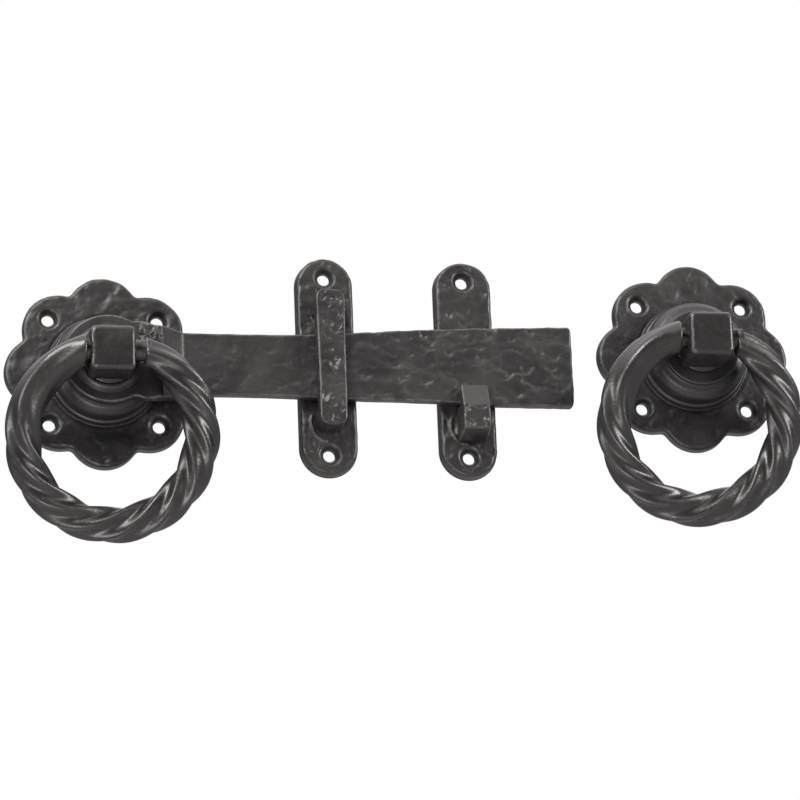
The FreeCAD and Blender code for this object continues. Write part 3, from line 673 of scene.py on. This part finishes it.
def make_ring(name, pin, lean, ends, shift, phase, seed, body, node):
    """Ring: a five-lobed section carried round a circle and twisted as it goes, smooth near its left end.

    pin is the middle of the pivot as (across, depth, height); ends are the distances from it to the left
    and right ends, and shift moves the circle's centre sideways.
    """
    drop = math.sqrt(RING ** 2 - HALF_GAP ** 2) + 0.3
    rows, columns = 600, 144
    first = math.asin((ends[0] + shift) / RING)
    last = math.asin((ends[1] - shift) / RING)
    bend = np.linspace(first, FULL_TURN - last, rows)
    left = bend < math.pi
    side = np.where(left, bend, FULL_TURN - bend)
    begin = np.where(left, first, last)
    square = ease(side, begin, math.radians(38))
    tilt = np.where(left, -1, 1) * side * square
    place = np.where(left, -side, side)
    middle = np.stack([shift + RING * np.sin(place), RING * np.cos(place) - drop], axis=-1)
    out = np.stack([np.sin(tilt), np.cos(tilt)], axis=-1)
    degrees = np.degrees(bend)
    rate = (0.22 + 0.78 * ease(degrees, 52, 105)) * (1 - 0.45 * ease(degrees, 275, 330))
    twist = np.cumsum(rate) / rows * TWIST_TURNS * FULL_TURN + phase
    lobe = (0.45 + 0.55 * ease(degrees, 45, 105)) * ease(degrees, 18, 34)
    lobe = lobe * (1 - 0.50 * ease(degrees, 295, 341))
    angle = np.arange(columns) / columns * FULL_TURN
    wave = 0.5 + 0.5 * np.cos(LOBES * (angle[None, :] - twist[:, None]))
    groove = LOBE_DEPTH * lobe[:, None] * (1 - wave)
    thick = np.where(left, 6.75, 5.75)
    full = thick + (ROD - thick) * ease(side, begin, math.radians(58))
    tip = np.minimum(np.arange(rows), np.arange(rows)[::-1]) / 4.0
    full = full - 0.8 * (1 - np.sqrt(np.clip(1 - (1 - np.clip(tip, 0, 1)) ** 2, 0, 1)))
    reach = full[:, None] - 0.05 - groove
    across = np.cos(angle)[None, :] * reach
    ahead = np.sin(angle)[None, :] * reach
    sideways = middle[:, None, 0] + out[:, None, 0] * across
    upwards = middle[:, None, 1] + out[:, None, 1] * across
    loops = np.stack([
        pin[0] + sideways,
        -pin[1] - upwards * math.sin(lean) - ahead * math.cos(lean),
        pin[2] + upwards * math.cos(lean) - ahead * math.sin(lean),
    ], axis=-1)

    def rough(points):
        """Faint dents and a few pits in the casting."""
        swell = 0.09 * lumps(points, 8.0, seed) + 0.03 * lumps(points, 3.5, seed + 1)
        return swell - 0.06 - 0.10 * hollows(points, 5.0, seed + 2, 0.15)

    return make_skin(name, loops, rough, body, "satin_black", (node,), (0.35, 1.1))


# ---------------------------------------------------------------- latch bar

def rectangle_loop(front_steps, side_steps, back_steps, corner_steps):
    """A unit rounded rectangle: for each point its share across and in depth and its corner's direction."""
    share, turn = [], []
    spans = (((0, 1), (1, 1), front_steps), ((1, 1), (1, 0), side_steps),
             ((1, 0), (0, 0), back_steps), ((0, 0), (0, 1), side_steps))
    for number, (start, end, steps) in enumerate(spans):
        facing = math.pi / 2 * (1 - number)
        for t in np.linspace(0, 1, steps):
            share.append((start[0] + (end[0] - start[0]) * t, start[1] + (end[1] - start[1]) * t))
            turn.append(facing)
        for t in np.linspace(0, 1, corner_steps + 2)[1:-1]:
            share.append(end)
            turn.append(facing - math.pi / 2 * t)
    return np.array(share, float), np.array(turn)


def rectangle_rows(low, high, back, front, corner, loop):
    """Rounded rectangles from their low and high edges and back and front depths, one row for each."""
    share, turn = loop
    corner = np.minimum(corner, np.minimum(high - low, front - back) / 2.05)
    low, high, back, front, corner = (value[:, None] for value in (low, high, back, front, corner))
    up = low + corner + (high - low - 2 * corner) * share[:, 0] + corner * np.cos(turn)
    deep = back + corner + (front - back - 2 * corner) * share[:, 1] + corner * np.sin(turn)
    return up, deep


BAR_END = 188.5
BAR_FRONT, BAR_BACK = 10.5, 6.0
HUB_RADIUS = 18.0
HUB_FRONT = 22.6
TIP_ROUND = 2.0
EDGE_ROUND = 0.9


def smoothed(line, width):
    """A line averaged under a bell-shaped window, its two ends left alone."""
    half = width // 2
    bell = np.hanning(width) / np.hanning(width).sum()
    return np.concatenate([line[:half], np.convolve(line, bell, mode="valid"), line[-half:]])


def tip_inset(x, radius):
    """How far the bar's outline draws in towards its tip: a quarter circle of the radius."""
    past = np.clip(radius - (BAR_END - x), 0, radius)
    return radius - np.sqrt(np.maximum(radius ** 2 - past ** 2, 0))


def make_bar():
    """Latch bar: rounded rectangles carried along X between its lower and upper outlines."""
    x = np.concatenate([
        -HUB_RADIUS * np.cos(np.linspace(0, math.pi / 2, 60)[:-1]),
        np.linspace(0, 36, 110)[:-1],
        np.linspace(36, BAR_END - 1.5, 330)[:-1],
        BAR_END - 1.5 * np.cos(np.linspace(0, math.pi / 2, 12)),
    ])
    x = np.unique(np.round(x, 4))
    disc = np.sqrt(np.maximum(HUB_RADIUS ** 2 - x ** 2, 0))
    above = np.interp(x, [0, 9.5, 14, 19.5, 24, 31, 65, 74, 101, 116, 126, 131, 159, 185, 188.5],
                      [17.0, 15.9, 15.6, 14.0, 14.9, 15.3, 15.3, 15.5, 17.0, 18.0, 18.9, 19.2, 20.4, 21.1,
                       21.2])
    below = np.interp(x, [0, 11.6, 13.5, 17.4, 21.4, 25.4, 31, 45, 65, 100, 130, 159, 186, 188.5],
                       [17.0, 15.6, 16.4, 16.2, 15.0, 13.3, 11.2, 10.4, 10.4, 11.1, 11.4, 12.5, 12.6, 12.5])

    def with_hub(line):
        """An outline's distance from the bar's middle line, joined to the round edge of the hub."""
        return np.where(x < 12, np.maximum(np.where(x > 0, line - 2 * ease(x, 13, 0), 0), disc), line)

    high = with_hub(smoothed(above, 9)) - tip_inset(x, TIP_ROUND)
    low = tip_inset(x, TIP_ROUND) - with_hub(smoothed(below, 9))
    front = np.interp(x, [-18, 20.5, 30.4, 31.4], [HUB_FRONT, HUB_FRONT, BAR_FRONT + 0.4, BAR_FRONT])
    back = np.interp(x, [-18, 17.5, 29.0], [HUB_BACK, HUB_BACK, BAR_BACK])
    front = smoothed(front, 11) - tip_inset(x, EDGE_ROUND)
    back = back + tip_inset(x, EDGE_ROUND)
    high, low = np.maximum(high, low + 0.3), np.minimum(low, high - 0.3)
    corner = np.full(len(x), EDGE_ROUND)
    up, deep = rectangle_rows(low, high, back, front, corner, rectangle_loop(78, 9, 26, 4))
    loops = np.stack([np.repeat(x[:, None], up.shape[1], axis=1), -deep, up], axis=-1)

    def rough(points):
        """Hammer marks that grow towards the tip, with a calm hub."""
        along = ease(points[..., 0], 24, 45) * (0.35 + 0.65 * ease(-points[..., 1], 9.4, 10.4))
        strong = 0.35 + 0.65 * ease(points[..., 0], 60, 140)
        stretched = points * np.array([1.0, 1.0, 1.35])
        swell = swells(((0.34, 8.0, 0, stretched), (0.28, 4.0, 1, stretched), (0.06, 2.0, 2, points)), 41)
        shape = along * strong * swell - 0.10 * along
        return shape - along * strong * 0.55 * pocks(stretched, 4.0, 44) - 0.02

    return make_skin("forged latch bar", loops, rough, "inner_handle", "cast_black", ("latch_bar",))


def make_lug():
    """Rough casting lug on the bar beside its hub: rounded rectangles carried along X."""
    t = np.linspace(0, math.pi / 2, 7)
    start, end, corner = 12.8, 20.6, 1.2
    x = np.concatenate([
        start - corner * np.sin(t[::-1]), np.linspace(start, end, 24)[1:-1], end + corner * np.sin(t),
    ])
    past = np.clip(start - x, 0, corner) + np.clip(x - end, 0, corner)
    shrink = corner - np.sqrt(np.maximum(corner ** 2 - past ** 2, 0))
    high = np.interp(x, [11, 22], [15.6, 13.9]) - shrink
    low = np.full(len(x), 4.0) + shrink
    back, front = np.full(len(x), 18.6), 23.3 - shrink
    up, deep = rectangle_rows(low, high, back, front, np.full(len(x), corner), rectangle_loop(34, 10, 12, 5))
    loops = np.stack([np.repeat(x[:, None], up.shape[1], axis=1), -deep, up], axis=-1)

    def rough(points):
        """Deep irregular sponge-like pits."""
        pitted = pocks(points, 2.6, 61) + 0.6 * pocks(points, 1.5, 65)
        return 0.35 * lumps(points, 2.8, 63) - 1.5 * pitted

    return make_skin("pitted lug", loops, rough, "inner_handle", "cast_black")


def make_hub_rings():
    """Turned steps round the neck on the front of the bar's hub."""
    turn = np.arange(600) / 600 * FULL_TURN
    line = profile(rounded([
        (10.82, 22.2), (10.82, 23.6), (11.3, 24.0), (12.3, 23.8), (12.9, 23.2),
        (13.5, 23.15), (13.6, 22.85), (14.2, 22.8), (14.3, 22.4), (14.3, 22.2),
    ], 0.3), 44)
    loops = np.stack([
        line[:, :1] * np.cos(turn), np.repeat(-line[:, 1:], len(turn), axis=1), line[:, :1] * np.sin(turn),
    ], axis=-1)
    index = np.arange(len(line) * len(turn)).reshape(len(line), len(turn))
    right, below = np.roll(index, -1, axis=1), np.roll(index, -1, axis=0)
    quads = np.stack([index, right, np.roll(below, -1, axis=1), below], axis=-1).reshape(-1, 4)
    points = loops.reshape(-1, 3)
    # The turned steps get an even share of the edge grey: partly wear, partly painted highlight.
    wear_and_highlight = np.full(len(points), 0.25)
    return make_piece("turned hub steps", points, quads, np.zeros((0, 3), dtype=np.int64), wear_and_highlight,
                      "inner_handle", "satin_black")


# ---------------------------------------------------------------- guide and catch brackets

BRACKET_HALF = 11.8
BRACKET_REACH = 33.8
BRACKET_SCREW = 37.0
BRACKET_RIM = 1.5
BRACKET_SET_IN = 0.45
STRAP_FRONT = 17.4
BAR_CLEAR = 11.4


def half_round_plate(column, row, inset):
    """A plate with half-round ends: a straight middle, and at each end a square bent into a half disc."""
    radius = BRACKET_HALF - inset
    end = np.clip(np.abs(row) - 1, 0, 1)
    across = radius * column * np.sqrt(1 - end ** 2 / 2)
    up = np.clip(row, -1, 1) * BRACKET_REACH + np.sign(row) * radius * end * np.sqrt(1 - column ** 2 / 2)
    return np.stack([across, up], axis=-1)


def make_bracket_plate(name, across, height, chip, seed, node):
    """Bracket plate: flat front, rounded rim and straight side from one grid, with two dished screw holes.

    chip holds the lowest and highest points of the chipped patch beside the strap.
    """
    rim_steps = 8
    edge = np.linspace(0, 1, rim_steps + 1)[1:]
    column = np.concatenate([-1 - edge[::-1], np.linspace(-1, 1, 51), 1 + edge])
    end_rows = np.linspace(0, 1, 26)[1:]
    row = np.concatenate([
        -2 - edge[::-1], -1 - end_rows[::-1], np.linspace(-1, 1, 141), 1 + end_rows, 2 + edge,
    ])
    rows, columns = np.meshgrid(row, column, indexing="ij")
    beyond = np.maximum(np.clip(np.abs(rows) - 2, 0, 1), np.clip(np.abs(columns) - 1, 0, 1))
    inset, depth, fall = rim(beyond, BRACKET_RIM)
    within = np.clip(columns, -1, 1), np.clip(rows, -2, 2)
    flat = half_round_plate(*within, inset + BRACKET_SET_IN * (1 - fall))
    keep = np.ones((len(row) - 1, len(column) - 1), dtype=bool)
    centres = [(0.0, BRACKET_SCREW), (0.0, -BRACKET_SCREW)]
    for centre in centres:
        away = np.linalg.norm(flat - np.array(centre), axis=-1)
        spot = np.unravel_index(int(np.argmin(away)), away.shape)
        round_hole(flat, keep, spot, (0.0, 1.0), (1.0, 0.0), centre, SCREW_HOLE, HOLE_CELLS, 11)
    depth = np.where(beyond > 0, depth, screw_dish(flat, centres, depth))
    front = np.stack([flat[..., 0] + across, -depth, flat[..., 1] + height], axis=-1)
    back_flat = half_round_plate(*within, (BRACKET_RIM + BRACKET_SET_IN) * (1 - beyond))
    back_flat = np.where((beyond > 0)[..., None], back_flat, flat)
    gate = np.zeros(flat.shape[:2])
    back = np.stack([back_flat[..., 0] + across, gate, back_flat[..., 1] + height], axis=-1)

    def rough(points):
        """Sand-cast swells and pits, calm at holes and gate, chipped to the left, with a fillet bead."""
        free = ease(-points[..., 1], 3.0, 4.8)
        right, up = points[..., 0] - across, points[..., 2] - height
        chipped = ease(right, -4.0, -5.5) * ease(right, -10.8, -9.5)
        chipped = chipped * ease(up, chip[0], chip[0] + 1.5) * ease(up, chip[1], chip[1] - 1.5)
        bead = np.hypot((right + 0.5) / 6.8, (up + 24.0) / 7.7) - 1
        bead = np.exp(-(bead * 7.2 / 0.55) ** 2) * ease(right, -0.6, -1.8) * ease(up, -19.0, -22.0)
        free = free * calm_at_holes(right, up, centres)
        swell = swells(((0.26, 5.5, 0, points), (0.20, 3.0, 1, points), (0.05, 1.5, 7, points)), seed)
        chips = chipped * (pocks(points, 1.8, seed + 4) + 0.2)
        return free * (swell - 0.48 * pocks(points, 3.2, seed + 2) - chips + 0.7 * bead - 0.05)

    return make_plate(name, front, back, keep, False, rough, node)


def make_strap(name, outer, inner, half_width, across, height, rough, steps, tip):
    """A strap whose section runs from an inner to an outer line, each (up, depth), and is carried along both.

    tip is true where the far end shows and needs a face of its own.
    """
    outer, inner = resample(outer, steps), resample(inner, steps)
    share, turn = rectangle_loop(26, 14, 20, 4)
    corner = 0.9
    between = outer - inner
    thick = np.linalg.norm(between, axis=-1, keepdims=True)
    unit = between / thick
    deep = corner + (thick - 2 * corner) * share[None, :, 1] + corner * np.sin(turn)
    spot = inner[:, None, :] + unit[:, None, :] * deep[..., None]
    reach = half_width(spot[..., 0], spot[..., 1])
    side = (reach - corner) * (2 * share[None, :, 0] - 1) + corner * np.cos(turn)
    loops = np.stack([across + side, -spot[..., 1], height + spot[..., 0]], axis=-1)
    if tip:
        cap = loops[-1:]
        centre = cap.mean(axis=1, keepdims=True)
        loops = np.concatenate([loops] + [centre + (cap - centre) * s for s in (0.9, 0.6, 0.3)])
    return make_skin(name, loops, rough, "plates", "cast_black")


def resample(line, steps):
    """The same line with a fixed number of points, evenly spread along its length."""
    run = np.concatenate([[0], np.cumsum(np.linalg.norm(np.diff(line, axis=0), axis=1))])
    at = np.linspace(0, run[-1], steps)
    return np.stack([np.interp(at, run, line[:, k]) for k in range(line.shape[1])], axis=-1)


def make_guide_loop(across, height):
    """Guide loop: a strap from the plate, over the bar and back to the plate."""
    top, inside, end_round = 28.4, 20.3, 4.2
    outer = rounded([
        (-top - 1.6, 4.0), (-top, 6.5), (-top, STRAP_FRONT), (top, STRAP_FRONT), (top, 4.0),
    ], 1.4, 8)
    inner = rounded([
        (-inside, 4.0), (-inside, 6.5), (-inside, BAR_CLEAR), (inside, BAR_CLEAR), (inside, 4.0),
    ], 0.8, 8)

    def half_width(up, depth):
        """Half of the strap's width: rounded at its two ends in front view, and wider towards the plate."""
        near = np.clip(end_round - (top - np.abs(up)), 0, end_round - 0.1)
        ends = end_round - np.sqrt(end_round ** 2 - near ** 2)
        return 5.6 - 0.85 * ends + 0.035 * (STRAP_FRONT - depth) + 0.010 * up

    def rough(points):
        """Deep pits on the front of the strap."""
        amid = ease(np.abs(points[..., 0] - across), 5.1, 3.9)
        amid = amid * ease(np.abs(points[..., 2] - height), 28.2, 26.8)
        ahead = ease(-points[..., 1], 16.9, 17.3) * amid
        pits = pocks(points, 3.4, 71) + 0.4 * pocks(points, 1.8, 75)
        swell = 0.12 * lumps(points, 5.0, 73) + 0.15 * lumps(points, 2.8, 74) * amid
        return ease(-points[..., 1], 11.6, 12.4) * (swell - 0.10) - 0.9 * ahead * pits

    return make_strap("guide loop", outer, inner, half_width, across, height, rough, 260, False)


def make_catch_hook(across, height, seat):
    """Catch hook: from the plate forwards under the bar, then up in front of it to a blunt tip."""
    low, top = -24.2 - height, -5.0 - height
    outer = rounded([
        (low - 2.6, 4.0), (low - 2.4, 5.6), (low, STRAP_FRONT), (-15.0 - height, STRAP_FRONT), (top, 13.2),
    ], 1.2, 8)
    inner = rounded([(seat, 4.0), (seat, BAR_CLEAR), (top, BAR_CLEAR)], 0.8, 8)

    def half_width(up, depth):
        """Half of the hook's width, a little wider towards the plate."""
        return 5.45 + 0.04 * (STRAP_FRONT - depth)

    def rough(points):
        """A smooth ramp above and a chipped face below."""
        up = points[..., 2]
        lower = ease(up, -14.0, -16.0) * ease(-points[..., 1], 14.0, 17.0)
        pits = pocks(points, 2.8, 81)
        return 0.09 * lumps(points, 3.0, 83) - 0.09 - 1.1 * lower * pits

    return make_strap("catch hook", outer, inner, half_width, across + 1.2, height, rough, 150, True)


# ---------------------------------------------------------------- the assembly

OUTER_ACROSS, OUTER_HEIGHT = 240.0, 11.4
GUIDE_MIDDLE = (89.5, 4.6)
CATCH_MIDDLE = (146.0, 4.5)
HOOK_SEAT = -16.9

make_rose("inner petal rose", 0.0, 0.0, 11, "inner_rose")
make_rose("outer petal rose", OUTER_ACROSS, OUTER_HEIGHT, 21, "outer_rose")
make_boss("inner square boss", 24.2, True, 0.0, 0.0, 31, "inner_handle", "inner_boss")
make_boss("outer square boss", 19.8, False, OUTER_ACROSS, OUTER_HEIGHT, 35, "outer_handle", "outer_boss")
make_ring("inner twisted ring", (0.0, 32.4, 0.0), math.radians(21.452), (10.3, 12.7), 1.0, 0.35, 51,
          "inner_drop_ring", "inner_ring")
make_ring("outer twisted ring", (OUTER_ACROSS, 28.8, OUTER_HEIGHT), math.radians(18.244), (11.5, 11.5), -2.4,
          0.75, 55, "outer_drop_ring", "outer_ring")
make_bar()
make_lug()
make_hub_rings()
make_bracket_plate("guide plate", *GUIDE_MIDDLE, (17.0, 25.0), 91, "guide_bracket")
make_bracket_plate("catch plate", *CATCH_MIDDLE, (-28.5, -20.5), 95, "catch_bracket")
make_guide_loop(*GUIDE_MIDDLE)
make_catch_hook(*CATCH_MIDDLE, HOOK_SEAT)

for node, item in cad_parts.items():
    if not item.hide_render:
        item.data.materials.clear()
        item.data.materials.append(materials["blackened_steel" if "pivot" in node else "plain_steel"])


# ---------------------------------------------------------------- floor, light and camera

FLOOR_HALF = 60.0
FLOOR_HEIGHT = -1.0
LAMP_AIM = (0.12, 0.0, 0.0)
CAMERA_AIM = (0.11935, 0.0, -0.0077)
CAMERA_DISTANCE = 1.735
VIEW_WIDTH = 0.320
SENSOR = 36.0


def make_floor():
    """A wide plain floor well below the hung castings."""
    mesh = bpy.data.meshes.new("floor")
    corners = ((-1, -1), (1, -1), (1, 1), (-1, 1))
    mesh.from_pydata([(x * FLOOR_HALF, y * FLOOR_HALF, FLOOR_HEIGHT) for x, y in corners], [], [(0, 1, 2, 3)])
    floor = bpy.data.objects.new("floor", mesh)
    bpy.context.scene.collection.objects.link(floor)
    material, tree, shader, place = new_material("pale floor")
    shade = mix_colour(tree, noise(tree, place, 3.0, 3.0), (0.46, 0.46, 0.46), (0.52, 0.52, 0.52))
    tree.links.new(shade, shader.inputs["Base Color"])
    shader.inputs["Roughness"].default_value = 0.9
    mesh.materials.append(material)


def add_light(name, place, size, power):
    """A square soft light aimed at the middle of the latch."""
    lamp = bpy.data.lights.new(name, "AREA")
    lamp.size = size
    lamp.energy = power
    item = bpy.data.objects.new(name, lamp)
    item.location = place
    item.rotation_mode = "QUATERNION"
    item.rotation_quaternion = (Vector(LAMP_AIM) - Vector(place)).to_track_quat("-Z", "Y")
    bpy.context.scene.collection.objects.link(item)


def make_world():
    """White studio: seen plain white by the camera, and darker in front so that flat faces stay deep."""
    world = bpy.data.worlds.new("white studio")
    world.use_nodes = True
    tree = world.node_tree
    shade = tree.nodes["Background"]
    facing = tree.nodes.new("ShaderNodeSeparateXYZ")
    tree.links.new(tree.nodes.new("ShaderNodeTexCoord").outputs["Generated"], facing.inputs[0])
    walls = span(tree, facing.outputs["Y"], -0.97, -0.3, 0.06, 0.20)
    roof = span(tree, facing.outputs["Z"], 0.40, 0.80, 0.0, 1.8)
    light = math_node(tree, "ADD", walls, roof)
    seen = tree.nodes.new("ShaderNodeLightPath").outputs["Is Camera Ray"]
    light = math_node(tree, "MULTIPLY", light, math_node(tree, "SUBTRACT", 1.0, seen))
    light = math_node(tree, "MAXIMUM", light, seen)
    tree.links.new(light, shade.inputs["Strength"])
    shade.inputs["Color"].default_value = (1.0, 1.0, 1.0, 1.0)
    bpy.context.scene.world = world


def make_camera():
    """A long lens a little below and to the left of the latch, rolled slightly."""
    turn, rise, roll = math.radians(11.0), math.radians(17.6), math.radians(2.25)
    ahead = Vector((math.sin(turn) * math.cos(rise), math.cos(turn) * math.cos(rise), math.sin(rise)))
    right = Vector((math.cos(turn), -math.sin(turn), 0.0))
    above = right.cross(ahead)
    across = math.cos(roll) * right - math.sin(roll) * above
    upward = math.sin(roll) * right + math.cos(roll) * above
    place = Vector(CAMERA_AIM) - ahead * CAMERA_DISTANCE
    lens = bpy.data.cameras.new("camera")
    lens.lens = SENSOR * CAMERA_DISTANCE / VIEW_WIDTH
    lens.sensor_width = SENSOR
    camera = bpy.data.objects.new("camera", lens)
    camera.matrix_world = Matrix((
        (across.x, upward.x, -ahead.x, place.x), (across.y, upward.y, -ahead.y, place.y),
        (across.z, upward.z, -ahead.z, place.z), (0, 0, 0, 1),
    ))
    bpy.context.scene.collection.objects.link(camera)
    bpy.context.scene.camera = camera


make_floor()
make_world()
add_light("key", (-0.55, -1.0, 0.95), 0.50, 25.0)
add_light("side", (1.15, -0.60, 0.25), 0.45, 15.0)
add_light("left", (-1.0, -0.55, 0.20), 0.40, 10.0)
add_light("low", (-0.35, -0.85, -0.75), 0.35, 6.0)
make_camera()
bpy.context.scene.view_settings.view_transform = "Standard"
